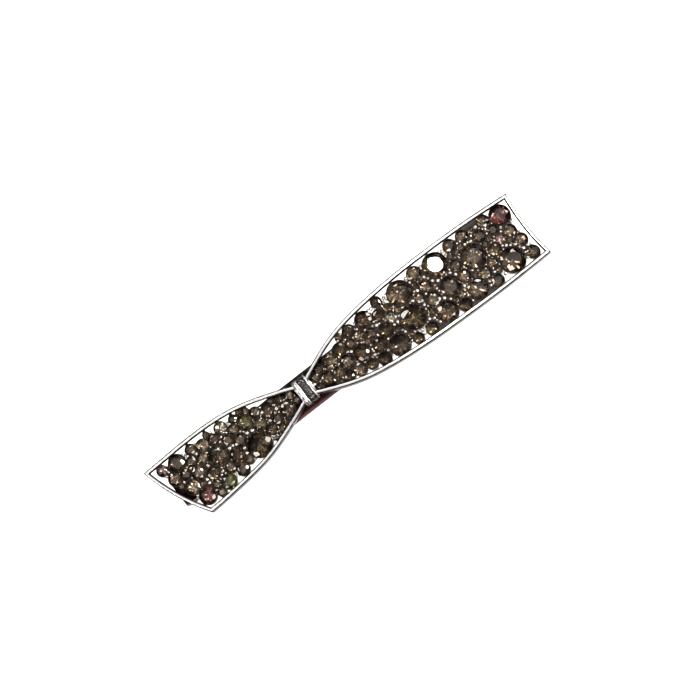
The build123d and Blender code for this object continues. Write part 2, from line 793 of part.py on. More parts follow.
# ---------------------------------------------------------------- write the pieces

bow_frame.part.label = "bow_frame"
pieces = [
    bow_frame.part,
    knot_band.part,
    knot_wire.part,
    solder_pads.part,
    back_plate.part,
    hinge_pin.part,
    clasp_arm.part,
    tension_bar.part,
    catch_base.part,
    catch_leg_rear,
    catch_leg_front,
    catch_rivet.part,
    *stone_groups.values(),
]
for piece in pieces:
    export_step(piece, f"parts/{piece.label}.step")
    print(piece.label, len(piece.solids()), "solids", round(piece.volume, 3), "mm3")
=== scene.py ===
"""Looks of the hair barrette: materials, cut stones, rounded rim, wound knot, light and camera."""

import math

import bmesh
import bpy
import numpy as np
from mathutils import Matrix, Vector


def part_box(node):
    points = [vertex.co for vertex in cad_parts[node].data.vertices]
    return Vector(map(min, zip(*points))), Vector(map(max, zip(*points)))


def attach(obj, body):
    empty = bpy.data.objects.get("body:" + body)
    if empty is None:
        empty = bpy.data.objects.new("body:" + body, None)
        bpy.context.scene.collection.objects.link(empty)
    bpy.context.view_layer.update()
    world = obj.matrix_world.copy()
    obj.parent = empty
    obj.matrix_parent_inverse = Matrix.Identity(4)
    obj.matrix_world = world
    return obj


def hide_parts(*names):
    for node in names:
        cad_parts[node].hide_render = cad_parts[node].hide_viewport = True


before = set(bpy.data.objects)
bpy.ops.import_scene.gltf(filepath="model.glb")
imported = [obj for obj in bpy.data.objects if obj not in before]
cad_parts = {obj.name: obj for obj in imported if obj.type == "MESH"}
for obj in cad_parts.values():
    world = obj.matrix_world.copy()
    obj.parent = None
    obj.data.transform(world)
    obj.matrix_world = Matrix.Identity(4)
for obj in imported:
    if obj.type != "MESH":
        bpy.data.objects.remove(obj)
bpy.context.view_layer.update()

MM = 0.001
# The body that the bow and the back plate belong to
CLIP_BODY = "clip"

# The arch of the clip, as the CAD model has it
ARCH_RADIUS = 165 * MM
PLATE_TOP = 8.8 * MM
ARCH_CENTRE = Vector((0, 0, PLATE_TOP - ARCH_RADIUS))
RIM_TOP = 3.2 * MM
SEAT_TOP = 2.3 * MM
PLATE_HALF_WIDTH = 3.4 * MM

# Corners of the CAD meshes nearer than this are one corner
WELD = 0.0005 * MM

# The picture's width at the clip, and where the camera stands: its back points away from the clip
PICTURE_WIDTH = 124.6 * MM
CAMERA_DISTANCE = 0.6
CAMERA_TILT = math.radians(7)
CAMERA_BACK = Vector((0, -math.sin(CAMERA_TILT), math.cos(CAMERA_TILT)))
AXIS_ANGLE = math.radians(37.6)
ACROSS = CAMERA_BACK.cross(Vector((1, 0, 0)))
CAMERA_RIGHT = Vector((math.cos(AXIS_ANGLE), 0, 0)) - math.sin(AXIS_ANGLE) * ACROSS
CAMERA_UP = Vector((math.sin(AXIS_ANGLE), 0, 0)) + math.cos(AXIS_ANGLE) * ACROSS
# How far the clip's middle is off the picture's middle, as shares of the picture's width
CLIP_OFFSET = (-0.008, -0.01371)


def camera_place():
    """Where the camera stands."""
    aim = Vector((0, 0, PLATE_TOP + RIM_TOP))
    aim -= (CAMERA_RIGHT * CLIP_OFFSET[0] + CAMERA_UP * CLIP_OFFSET[1]) * PICTURE_WIDTH
    return aim + CAMERA_BACK * CAMERA_DISTANCE


# ------------------------------------------------------------------ node helpers

def new_material(name):
    """A node material with one Principled shader; returns it, its tree and the shader."""
    material = bpy.data.materials.new(name)
    material.use_nodes = True
    tree = material.node_tree
    return material, tree, tree.nodes["Principled BSDF"]


def add_node(tree, kind, **settings):
    """A node of this kind, with its properties and the inputs named by strings set."""
    node = tree.nodes.new(kind)
    for key, value in settings.items():
        if key in node.inputs:
            node.inputs[key].default_value = value
        else:
            setattr(node, key, value)
    return node


def noise(tree, scale, detail, stretch=(1, 1, 1)):
    """Noise over object positions, stretched along the axes; returns its factor socket."""
    place = add_node(tree, "ShaderNodeTexCoord")
    mapping = add_node(tree, "ShaderNodeMapping")
    mapping.inputs["Scale"].default_value = stretch
    texture = add_node(tree, "ShaderNodeTexNoise", Scale=scale, Detail=detail)
    tree.links.new(place.outputs["Object"], mapping.inputs["Vector"])
    tree.links.new(mapping.outputs["Vector"], texture.inputs["Vector"])
    return texture.outputs["Fac"]


def ramp(tree, factor, stops):
    """Colour ramp over a factor socket; stops are (position, colour) pairs."""
    node = add_node(tree, "ShaderNodeValToRGB")
    while len(node.color_ramp.elements) < len(stops):
        node.color_ramp.elements.new(0.5)
    for element, (position, colour) in zip(node.color_ramp.elements, stops):
        element.position = position
        element.color = (*colour, 1)
    tree.links.new(factor, node.inputs["Fac"])
    return node.outputs["Color"]


def remap(tree, value, low, high):
    """A factor socket stretched from 0..1 to low..high."""
    node = add_node(tree, "ShaderNodeMapRange")
    node.inputs["To Min"].default_value = low
    node.inputs["To Max"].default_value = high
    tree.links.new(value, node.inputs["Value"])
    return node.outputs["Result"]


def between(tree, value, low, high):
    """A value socket as a share of the way from low to high, kept to 0..1."""
    node = add_node(tree, "ShaderNodeMapRange")
    node.inputs["From Min"].default_value = low
    node.inputs["From Max"].default_value = high
    tree.links.new(value, node.inputs["Value"])
    return node.outputs["Result"]


def combine(tree, operation, first, second):
    """Two value sockets combined by a math operation."""
    node = add_node(tree, "ShaderNodeMath", operation=operation)
    tree.links.new(first, node.inputs[0])
    tree.links.new(second, node.inputs[1])
    return node.outputs["Value"]


def axes(tree, vector):
    """The X, Y and Z sockets of a vector socket."""
    node = add_node(tree, "ShaderNodeSeparateXYZ")
    tree.links.new(vector, node.inputs["Vector"])
    return node.outputs


def bump(tree, shader, height, distance, strength, edge_radius=0.0):
    """Bump from a height socket, over softened edges where edge_radius isn't zero."""
    node = add_node(tree, "ShaderNodeBump", Strength=strength, Distance=distance)
    tree.links.new(height, node.inputs["Height"])
    if edge_radius:
        soft = add_node(tree, "ShaderNodeBevel", samples=6, Radius=edge_radius)
        tree.links.new(soft.outputs["Normal"], node.inputs["Normal"])
    tree.links.new(node.outputs["Normal"], shader.inputs["Normal"])


# ------------------------------------------------------------------ metals

# Noise scales, in cycles to the metre: broad patches, grain and fine lines
PATCH_SCALE = 260
GRAIN_SCALE = 1400
WIRE_SCALE = 1600
BRUSH_SCALE = 1800
SCRATCH_SCALE = 2600
FOIL_SCALE = 3000
SOFT_EDGE = 0.06 * MM
CAST_EDGE = 0.08 * MM
# Stretch of the noise that makes it run along the clip
ALONG = (0.04, 1, 1)


def polished_metal(name, bright, dull, roughness, stretch=(1, 1, 1)):
    """Plated metal: tone from dull to bright, faint scratches and rounded-looking edges."""
    material, tree, shader = new_material(name)
    shader.inputs["Metallic"].default_value = 1.0
    patches = noise(tree, PATCH_SCALE, 4.0)
    lines = noise(tree, SCRATCH_SCALE, 2.0, stretch)
    tree.links.new(ramp(tree, patches, [(0.3, dull), (0.7, bright)]), shader.inputs["Base Color"])
    tree.links.new(remap(tree, lines, *roughness), shader.inputs["Roughness"])
    bump(tree, shader, lines, 0.004 * MM, 0.35, SOFT_EDGE)
    return material


def casting_metal():
    """The bow's casting: bright plate; inside the rim and on the floor of the seats it is rough and
    darkened as painted shade.
    """
    material, tree, shader = new_material("rhodium_casting")
    surface = add_node(tree, "ShaderNodeTexCoord")
    away = add_node(tree, "ShaderNodeVectorMath", operation="SUBTRACT")
    away.inputs[1].default_value = ARCH_CENTRE
    level = add_node(tree, "ShaderNodeVectorMath", operation="LENGTH")
    tree.links.new(surface.outputs["Object"], away.inputs[0])
    tree.links.new(away.outputs["Vector"], level.inputs[0])
    seat_level = ARCH_RADIUS + SEAT_TOP
    high = between(tree, level.outputs["Value"], seat_level + 0.1 * MM, seat_level + 0.5 * MM)
    # A wall is an outer one where it faces away from the line along the clip's middle
    facing = axes(tree, surface.outputs["Normal"])
    sideways = between(tree, facing["Z"], 0.7, 0.4)
    outward = combine(tree, "MULTIPLY", facing["Y"], axes(tree, surface.outputs["Object"])["Y"])
    outer_wall = add_node(tree, "ShaderNodeMath", operation="GREATER_THAN")
    outer_wall.inputs[1].default_value = -0.1 * MM
    tree.links.new(outward, outer_wall.inputs[0])
    # Painted shade: faces that are neither high nor outer walls, that is the rim's inner walls and the
    # seats' floor, get a near-black colour for the shade in these recesses
    unshaded_face = combine(tree, "MAXIMUM", high, sideways)
    lit_polished = combine(tree, "MULTIPLY", unshaded_face, outer_wall.outputs["Value"])
    tone = ramp(tree, lit_polished, [(0.0, (0.022, 0.018, 0.016)), (1.0, (0.86, 0.85, 0.86))])
    tree.links.new(tone, shader.inputs["Base Color"])
    tree.links.new(remap(tree, lit_polished, 0.3, 1.0), shader.inputs["Metallic"])
    shader.inputs["Specular IOR Level"].default_value = 0.1
    grain = noise(tree, GRAIN_SCALE, 3.0)
    roughness = combine(
        tree, "MULTIPLY", remap(tree, grain, 0.5, 0.9), remap(tree, lit_polished, 0.8, 0.14)
    )
    tree.links.new(roughness, shader.inputs["Roughness"])
    bump(tree, shader, grain, 0.01 * MM, 0.3, CAST_EDGE)
    return material


def ridged_metal(name, dark_up_to, bright_from):
    """Plated metal that is bright on its ridges, with painted shade below them."""
    material, tree, shader = new_material(name)
    shader.inputs["Metallic"].default_value = 1.0
    ridge = add_node(tree, "ShaderNodeAttribute", attribute_name="ridge")
    # Painted shade: below the ridge's crest the colour falls to near black, for the dark flanks of the
    # rim bead and the grooves of the knot
    tone = ramp(tree, ridge.outputs["Fac"], [
        (dark_up_to, (0.022, 0.020, 0.020)),
        (bright_from, (0.84, 0.82, 0.83)),
    ])
    tree.links.new(tone, shader.inputs["Base Color"])
    grain = noise(tree, WIRE_SCALE, 3.0)
    tree.links.new(remap(tree, grain, 0.12, 0.3), shader.inputs["Roughness"])
    bump(tree, shader, grain, 0.02 * MM, 0.4)
    return material


def plate_metal():
    """Bright-plated strip whose outer face has a painted reflection: black on one side and wine red on
    the other, lighter at both edges.
    """
    material, tree, shader = new_material("plate_with_painted_reflection")
    shader.inputs["Metallic"].default_value = 1.0
    surface = add_node(tree, "ShaderNodeTexCoord")
    place = axes(tree, surface.outputs["Object"])
    across = between(tree, place["Y"], -PLATE_HALF_WIDTH, PLATE_HALF_WIDTH)
    # Painted reflection across the outer face: a light rose edge, wine red fading into black, and a
    # light grey far edge
    face = ramp(tree, across, [
        (0.0, (0.34, 0.22, 0.22)),
        (0.10, (0.075, 0.020, 0.022)),
        (0.40, (0.030, 0.009, 0.010)),
        (0.55, (0.004, 0.003, 0.004)),
        (0.93, (0.003, 0.003, 0.003)),
        (1.0, (0.12, 0.12, 0.125)),
    ])
    outer = between(tree, axes(tree, surface.outputs["Normal"])["Z"], 0.6, 0.8)
    mix = add_node(tree, "ShaderNodeMix", data_type="RGBA")
    mix.inputs["A"].default_value = (0.60, 0.59, 0.59, 1)
    tree.links.new(outer, mix.inputs["Factor"])
    tree.links.new(face, mix.inputs["B"])
    tree.links.new(mix.outputs["Result"], shader.inputs["Base Color"])
    lines = noise(tree, BRUSH_SCALE, 3.0, (0.05, 1, 1))
    tree.links.new(remap(tree, lines, 0.12, 0.32), shader.inputs["Roughness"])
    bump(tree, shader, lines, 0.005 * MM, 0.4, CAST_EDGE)
    return material


# ------------------------------------------------------------------ stones

def crystal():
    """Smoky glass of the stones' fronts."""
    material, tree, shader = new_material("smoky_crystal")
    shader.inputs["Transmission Weight"].default_value = 1.0
    shader.inputs["IOR"].default_value = 1.5
    shader.inputs["Roughness"].default_value = 0.0
    tone = add_node(tree, "ShaderNodeAttribute", attribute_name="stone_tone")
    tree.links.new(tone.outputs["Color"], shader.inputs["Base Color"])
    return material


def foil():
    """Mirror foil on the stones' pointed backs, tinted stone by stone and darkened facet by facet as
    painted shade.
    """
    material, tree, shader = new_material("stone_foil")
    shader.inputs["Metallic"].default_value = 1.0
    tone = add_node(tree, "ShaderNodeAttribute", attribute_name="foil_tone")
    tree.links.new(tone.outputs["Color"], shader.inputs["Base Color"])
    speckle = noise(tree, FOIL_SCALE, 2.0)
    tree.links.new(remap(tree, speckle, 0.01, 0.06), shader.inputs["Roughness"])
    return material


# The cut, in shares of the stone's radius: reach of the table, crown height, reach of the star
# points, pavilion depth and reach of the lower facets' inner points
TABLE = 0.58
CROWN = 0.30
STAR = 0.80
PAVILION = 0.72
LOWER = 0.25
# Half the girdle's height
GIRDLE = 0.04 * MM
# Main facets round the stone
MAINS = 8
HALF_STEP = math.pi / MAINS


def ring(radius, height, shift):
    """Eight points round the stone's axis, turned by shift steps of a sixteenth turn."""
    angles = [(2 * index + shift) * HALF_STEP for index in range(MAINS)]
    return [Vector((radius * math.cos(a), radius * math.sin(a), height)) for a in angles]


def brilliant(radius):
    """Points and faces of a brilliant-cut stone; each face comes with its material index."""
    waist = math.cos(HALF_STEP)
    star_height = CROWN * (1 - STAR * waist) / (1 - TABLE)
    lower_height = -PAVILION * (1 - LOWER * waist)
    rings = [
        ring(TABLE * radius, CROWN * radius + GIRDLE, 0),
        ring(STAR * radius, star_height * radius + GIRDLE, 1),
        ring(radius, GIRDLE, 0),
        ring(radius, GIRDLE, 1),
        ring(radius, -GIRDLE, 0),
        ring(radius, -GIRDLE, 1),
        ring(LOWER * radius, lower_height * radius - GIRDLE, 1),
    ]
    points = [point for one_ring in rings for point in one_ring]
    points.append(Vector((0, 0, -PAVILION * radius)))
    culet = len(points) - 1
    table, star, main, half, main_low, half_low, lower = [MAINS * i for i in range(len(rings))]
    faces = [([table + i for i in range(MAINS)], 0)]
    for i in range(MAINS):
        j = (i + 1) % MAINS
        k = (i - 1) % MAINS
        faces += [
            ([table + i, star + i, table + j], 0),
            ([table + i, star + k, main + i, star + i], 0),
            ([star + i, main + i, half + i], 0),
            ([star + i, half + i, main + j], 0),
            ([main + i, main_low + i, half_low + i, half + i], 1),
            ([half + i, half_low + i, main_low + j, main + j], 1),
            ([main_low + i, lower + i, half_low + i], 1),
            ([half_low + i, lower + i, main_low + j], 1),
            ([main_low + i, lower + k, culet, lower + i], 1),
        ]
    return points, faces


def stone_places(node):
    """Centre, axis and radius of every stone of a CAD node, read from its separate solids."""
    shape = bmesh.new()
    shape.from_mesh(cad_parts[node].data)
    bmesh.ops.remove_doubles(shape, verts=shape.verts, dist=WELD)
    shape.normal_update()
    seen = set()
    places = []
    for start in shape.faces:
        if start in seen:
            continue
        solid = []
        waiting = [start]
        seen.add(start)
        while waiting:
            face = waiting.pop()
            solid.append(face)
            for edge in face.edges:
                for other in edge.link_faces:
                    if other not in seen:
                        seen.add(other)
                        waiting.append(other)
        places.append(stone_place(solid))
    shape.free()
    return sorted(places, key=lambda place: tuple(place[0]))


def stone_place(faces):
    """Centre, axis and radius of one stone; the axis is square to its table, its largest flat."""
    flats = {}
    for face in faces:
        heading = tuple(round(value, 2) for value in face.normal)
        flats[heading] = flats.get(heading, 0.0) + face.calc_area()
    axis = Vector(max(flats, key=flats.get)).normalized()
    table = [face for face in faces if face.normal.dot(axis) > 0.999]
    axis = sum((face.normal * face.calc_area() for face in table), Vector()).normalized()
    area = sum(face.calc_area() for face in table)
    top = sum((face.calc_center_median() * face.calc_area() for face in table), Vector()) / area
    points = [vertex.co - top for face in faces for vertex in face.verts]
    reaches = [(point - axis * point.dot(axis)).length for point in points]
    radius = max(reaches)
    girdle = [point.dot(axis) for point, reach in zip(points, reaches) if reach > 0.99 * radius]
    return top + axis * (max(girdle) + min(girdle)) / 2, axis, radius


GLASS_TONES = [(0.44, 0.35, 0.26), (0.34, 0.27, 0.20), (0.56, 0.47, 0.37), (0.31, 0.25, 0.20)]
FOIL_TONES = [
    (0.80, 0.73, 0.64),
    (0.68, 0.61, 0.53),
    (0.88, 0.83, 0.74),
    (0.60, 0.54, 0.48),
    (0.74, 0.69, 0.54),
]
ACCENTS = {
    "rose": ((0.50, 0.31, 0.27), (0.78, 0.58, 0.54)),
    "blush": ((0.82, 0.66, 0.62), (0.90, 0.78, 0.76)),
    "cream": ((0.94, 0.91, 0.84), (0.98, 0.94, 0.86)),
    "green": ((0.45, 0.42, 0.27), (0.80, 0.80, 0.58)),
    "wine": ((0.45, 0.27, 0.23), (0.70, 0.52, 0.48)),
}
# The stones that differ from the smoky ones: colour, and the place that each is nearest to
ACCENT_PLACES = [
    ("rose", -34.2, -3.9),
    ("blush", -38.2, 4.8),
    # Painted highlight: this stone's pale cream glass and foil stand in for the light that it mirrors
    ("cream", -25.1, 4.2),
    ("green", -29.6, -4.3),
    ("green", -20.6, 2.3),
    ("wine", 37.9, 4.2),
    ("blush", 35.4, 0.6),
    ("cream", 11.0, 1.0),
]
# The stone whose table mirrors the key light to the camera
FLASH_PLACE = (23.1, 3.8)
# How far from its stone a place may be, in millimetres
NEAR = 0.9
# Painted shade on the foil: tone of the darkest foil facet, as a share of the stone's foil tone
FOIL_SHADE = 0.2
EXTRA_LEAN = math.radians(5)
GOLDEN_ANGLE = math.radians(137.5)
# Steps that spread the leans, the foil tones and the facets' shades over the stones
LEAN_STEP = 5
TONE_STEP = 3
SHADE_STEP = 7
FACET_STEP = 2.4


def near(centre, x, y):
    """Whether a stone sits at a place, given in millimetres."""
    return math.hypot(centre.x - x * MM, centre.y - y * MM) < NEAR * MM


def stone_colours(centre, index):
    """Glass and foil colour of a stone."""
    for name, x, y in ACCENT_PLACES:
        if near(centre, x, y):
            return ACCENTS[name]
    foil_tone = FOIL_TONES[(index * TONE_STEP) % len(FOIL_TONES)]
    return GLASS_TONES[index % len(GLASS_TONES)], foil_tone


def build_stones(node, places, glass, mirror):
    """One mesh of brilliant-cut stones for a CAD node of plain ones."""
    shape = bmesh.new()
    glass_layer = shape.faces.layers.float_color.new("stone_tone")
    foil_layer = shape.faces.layers.float_color.new("foil_tone")
    for index, (centre, axis, radius) in enumerate(places):
        points, faces = brilliant(radius)
        size_step = radius / (0.1 * MM)
        spin = GOLDEN_ANGLE * (index + size_step)
        lean = EXTRA_LEAN * math.sin(spin * LEAN_STEP)
        if near(centre, *FLASH_PLACE):
            lean = 0.0
        turn = axis.to_track_quat("Z", "Y").to_matrix().to_4x4()
        turn = Matrix.Translation(centre) @ turn
        turn = turn @ Matrix.Rotation(spin, 4, "Z") @ Matrix.Rotation(lean, 4, "X")
        verts = [shape.verts.new(turn @ point) for point in points]
        front, back = stone_colours(centre, index + int(size_step))
        for face_index, (corners, slot) in enumerate(faces):
            face = shape.faces.new([verts[corner] for corner in corners])
            face.material_index = slot
            face[glass_layer] = (*front, 1)
            # Painted shade: each foil facet is darkened by its own share, for the light and dark
            # facets that reflections give a cut stone
            wave = 0.5 + 0.5 * math.sin(spin * SHADE_STEP + FACET_STEP * face_index)
            shade = FOIL_SHADE + (1 - FOIL_SHADE) * wave
            face[foil_layer] = (back[0] * shade, back[1] * shade, back[2] * shade, 1)
    bmesh.ops.recalc_face_normals(shape, faces=shape.faces)
    piece = mesh_object(node.replace("stones", "cut_stones"), shape)
    piece.data.materials.append(glass)
    piece.data.materials.append(mirror)
    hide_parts(node)
    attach(piece, CLIP_BODY)
    return piece


def mesh_object(name, shape):
    """A new object from a bmesh, which is freed."""
    mesh = bpy.data.meshes.new(name)
    shape.to_mesh(mesh)
    shape.free()
    piece = bpy.data.objects.new(name, mesh)
    bpy.context.scene.collection.objects.link(piece)
    return piece


# ------------------------------------------------------------------ rim bead

BEAD_STEP = 0.35 * MM
BEAD_HALF_WIDTH = 0.42 * MM
BEAD_HEIGHT = 0.36 * MM
BEAD_SINK = 0.06 * MM
BEAD_SIDES = 14
CORNER_TURN = math.radians(20)
LEVEL_SLACK = 0.02 * MM
SHARPEST_MITER = 0.5


def outer_rim_line():
    """Points along the outer edge of the casting's top, in order."""
    shape = bmesh.new()
    shape.from_mesh(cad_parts["bow_frame"].data)
    bmesh.ops.remove_doubles(shape, verts=shape.verts, dist=WELD)
    level = ARCH_RADIUS + RIM_TOP
    top = set()
    for vertex in shape.verts:
        if abs(math.hypot(vertex.co.x, vertex.co.z - ARCH_CENTRE.z) - level) < LEVEL_SLACK:
            top.add(vertex)
    top_faces = {face for face in shape.faces if all(v in top for v in face.verts)}
    border = [edge for edge in shape.edges if sum(f in top_faces for f in edge.link_faces) == 1]
    links = {}
    for edge in border:
        a, b = edge.verts
        links.setdefault(a, []).append(b)
        links.setdefault(b, []).append(a)
    line = [max(links, key=lambda vertex: vertex.co.x)]
    onward = links[line[0]][0]
    while onward is not line[0]:
        line.append(onward)
        onward = [v for v in links[onward] if v is not line[-2]][0]
    points = [vertex.co.copy() for vertex in line]
    shape.free()
    return points


def resample(points, step):
    """The closed line at even steps, its sharp corners kept."""
    count = len(points)
    corners = []
    for i in range(count):
        before = (points[i] - points[i - 1]).normalized()
        after = (points[(i + 1) % count] - points[i]).normalized()
        if before.angle(after) > CORNER_TURN:
            corners.append(i)
    result = []
    for first, last in zip(corners, corners[1:] + [corners[0] + count]):
        run = [points[i % count] for i in range(first, last + 1)]
        lengths = [0.0]
        for a, b in zip(run, run[1:]):
            lengths.append(lengths[-1] + (b - a).length)
        steps = max(1, round(lengths[-1] / step))
        position = 0
        for index in range(steps):
            target = lengths[-1] * index / steps
            while lengths[position + 1] < target:
                position += 1
            share = (target - lengths[position]) / (lengths[position + 1] - lengths[position])
            result.append(run[position].lerp(run[position + 1], share))
    return result


def arch_up(point):
    """The arch's outward direction at a point."""
    up = point - ARCH_CENTRE
    up.y = 0
    return up.normalized()


def build_rim_bead(material, line):
    """A rounded bead along the top of the rim wall."""
    area = sum(a.x * b.y - b.x * a.y for a, b in zip(line, line[1:] + line[:1]))
    turn = 1 if area > 0 else -1
    shape = bmesh.new()
    ridge_layer = shape.verts.layers.float_color.new("ridge")
    loops = []
    for i, point in enumerate(line):
        up = arch_up(point)
        before = (point - line[i - 1]).normalized()
        after = (line[(i + 1) % len(line)] - point).normalized()
        inward = up.cross((before + after).normalized()).normalized() * turn
        square = up.cross(after).normalized() * turn
        miter = 1 / max(SHARPEST_MITER, inward.dot(square))
        middle = point + inward * (BEAD_HALF_WIDTH * miter)
        loop = []
        for side in range(BEAD_SIDES):
            angle = 2 * math.pi * side / BEAD_SIDES
            across = BEAD_HALF_WIDTH * math.cos(angle) * miter
            height = max(BEAD_HEIGHT * math.sin(angle), -BEAD_SINK)
            vertex = shape.verts.new(middle + inward * across + up * height)
            vertex[ridge_layer] = (max(0.0, math.sin(angle)),) * 3 + (1,)
            loop.append(vertex)
        loops.append(loop)
    for first, second in zip(loops, loops[1:] + loops[:1]):
        for side in range(BEAD_SIDES):
            following = (side + 1) % BEAD_SIDES
            face = shape.faces.new([first[side], first[following], second[following], second[side]])
            face.smooth = True
    bmesh.ops.recalc_face_normals(shape, faces=shape.faces)
    piece = mesh_object("rim_bead", shape)
    piece.data.materials.append(material)
    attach(piece, CLIP_BODY)


# ------------------------------------------------------------------ grains

GRAIN_STEP = 0.2 * MM
GRAIN_RIM_GAP = 1.5 * MM
LARGEST_GRAIN = 0.4 * MM
SMALLEST_GRAIN = 0.17 * MM
GRAIN_LIFT = 0.1 * MM


def build_grains(material, line, stones):
    """Small cast grains in the places between the stones, where the casting is closed."""
    rim = np.array([(point.x, point.y) for point in line])
    seats = np.array([(centre.x, centre.y, radius) for centre, _, radius in stones])
    low = rim.min(axis=0)
    high = rim.max(axis=0)
    columns = np.arange(low[0], high[0], GRAIN_STEP)
    rows = np.arange(low[1], high[1], GRAIN_STEP)
    across, along = np.meshgrid(rows, columns)
    x = along.ravel()
    y = across.ravel()
    following = np.roll(rim, -1, axis=0)
    spans = (rim[:, 1] > y[:, None]) != (following[:, 1] > y[:, None])
    rise = np.where(following[:, 1] == rim[:, 1], 1.0, following[:, 1] - rim[:, 1])
    crossing = rim[:, 0] + (following[:, 0] - rim[:, 0]) * (y[:, None] - rim[:, 1]) / rise
    inside = (spans & (x[:, None] < crossing)).sum(axis=1) % 2 == 1
    x = x[inside]
    y = y[inside]
    to_rim = np.hypot(x[:, None] - rim[:, 0], y[:, None] - rim[:, 1]).min(axis=1)
    to_centres = np.hypot(x[:, None] - seats[:, 0], y[:, None] - seats[:, 1])
    to_stones = (to_centres - seats[:, 2]).min(axis=1)
    room = np.minimum(to_rim - GRAIN_RIM_GAP, to_stones)
    room = np.where(np.abs(x - KNOT_X) < KNOT_HALF_WIDTH + LARGEST_GRAIN, 0, room)
    shape = bmesh.new()
    while room.max() > SMALLEST_GRAIN:
        best = int(room.argmax())
        radius = min(float(room[best]), LARGEST_GRAIN)
        level = ARCH_RADIUS + SEAT_TOP + GRAIN_LIFT
        place = Vector((x[best], y[best], ARCH_CENTRE.z + math.sqrt(level**2 - x[best] ** 2)))
        turn = Matrix.Translation(place)
        bmesh.ops.create_icosphere(shape, subdivisions=2, radius=radius, matrix=turn)
        room = np.minimum(room, np.hypot(x - x[best], y - y[best]) - radius)
    for face in shape.faces:
        face.smooth = True
    piece = mesh_object("seat_grains", shape)
    piece.data.materials.append(material)
    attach(piece, CLIP_BODY)


# ------------------------------------------------------------------ the knot

KNOT_X = -8.8 * MM
KNOT_HALF_WIDTH = 1.4 * MM
KNOT_HALF_HEIGHT = 1.57 * MM
KNOT_CORNER = 0.9 * MM
KNOT_CORNER_ROUNDS = 24
KNOT_LOOP_STEPS = 96
KNOT_PROFILE_STEPS = 72
# Ridges of the winding, in millimetres: place across the band and height
KNOT_RIDGES = [
    (-1.24, 0.20),
    (-0.88, 0.24),
    (-0.52, 0.22),
    (-0.2, 0.16),
    (0.86, 0.14),
    (1.24, 0.22),
]
RIDGE_HALF_WIDTH = 0.16
RIDGE_WANDER = 0.03
TALLEST_RIDGE = 0.24
BAND_LEVEL = 0.06
# The rumpled part of the band, between the ridges, in millimetres
RUMPLE_PLACE = (0, 0.75)
RUMPLE_LIFT = 0.08
RUMPLE_HEIGHT = 0.09


def knot_height(across, along):
    """Height of the winding's surface, in millimetres, across the band and along the loop."""
    height = BAND_LEVEL
    for place, ridge in KNOT_RIDGES:
        wander = RIDGE_WANDER * math.sin(along * 9 + place * 5)
        reach = abs(across - place - wander) / RIDGE_HALF_WIDTH
        if reach < 1:
            height = max(height, ridge * math.sqrt(1 - reach**2))
    if RUMPLE_PLACE[0] < across < RUMPLE_PLACE[1]:
        wave = math.sin(along * 37) * math.sin(across * 11 + along * 13)
        height += RUMPLE_LIFT + RUMPLE_HEIGHT * wave
    return height


def build_knot(material):
    """The band and wire that bind the bow's waist, as one wound, uneven strip."""
    low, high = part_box("knot_band")
    centre = (Vector(low) + Vector(high)) / 2
    up = arch_up(centre)
    along = Vector((up.z, 0, -up.x))
    half_y = (high[1] - low[1]) / 2
    shape = bmesh.new()
    ridge_layer = shape.verts.layers.float_color.new("ridge")
    loops = []
    for step in range(KNOT_LOOP_STEPS):
        angle = 2 * math.pi * step / KNOT_LOOP_STEPS
        point, normal = rounded_loop(angle, half_y, KNOT_HALF_HEIGHT, KNOT_CORNER)
        loop = []
        for index in range(KNOT_PROFILE_STEPS + 1):
            across = KNOT_HALF_WIDTH / MM * (2 * index / KNOT_PROFILE_STEPS - 1)
            height = knot_height(across, angle) * MM
            spot = point + normal * height
            place = centre + along * across * MM + Vector((0, 1, 0)) * spot.x + up * spot.y
            vertex = shape.verts.new(place)
            vertex[ridge_layer] = (height / TALLEST_RIDGE / MM,) * 3 + (1,)
            loop.append(vertex)
        loops.append(loop)
    for first, second in zip(loops, loops[1:] + loops[:1]):
        for index in range(KNOT_PROFILE_STEPS):
            corners = [first[index], first[index + 1], second[index + 1], second[index]]
            shape.faces.new(corners).smooth = True
    bmesh.ops.recalc_face_normals(shape, faces=shape.faces)
    piece = mesh_object("wound_knot", shape)
    piece.data.materials.append(material)
    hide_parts("knot_band", "knot_wire")
    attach(piece, CLIP_BODY)


def rounded_loop(angle, half_y, half_z, corner):
    """Point and outward normal on a rounded rectangle, at an angle about its middle."""
    ray = Vector((math.cos(angle), math.sin(angle)))
    reach = 0.0
    core = Vector((half_y - corner, half_z - corner))
    for _ in range(KNOT_CORNER_ROUNDS):
        spot = ray * reach
        nearest = Vector((max(-core.x, min(core.x, spot.x)), max(-core.y, min(core.y, spot.y))))
        reach += corner - (spot - nearest).length
    spot = ray * reach
    nearest = Vector((max(-core.x, min(core.x, spot.x)), max(-core.y, min(core.y, spot.y))))
    return spot, (spot - nearest).normalized()


# ------------------------------------------------------------------ floor, light, camera

FLOOR_SIZE = 6
FLOOR_DROP = 0.05 * MM
FLOOR_TONE_SEEN = 0.85
FLOOR_TONE_MIRRORED = 0.3
FLOOR_GLOW = 0.7


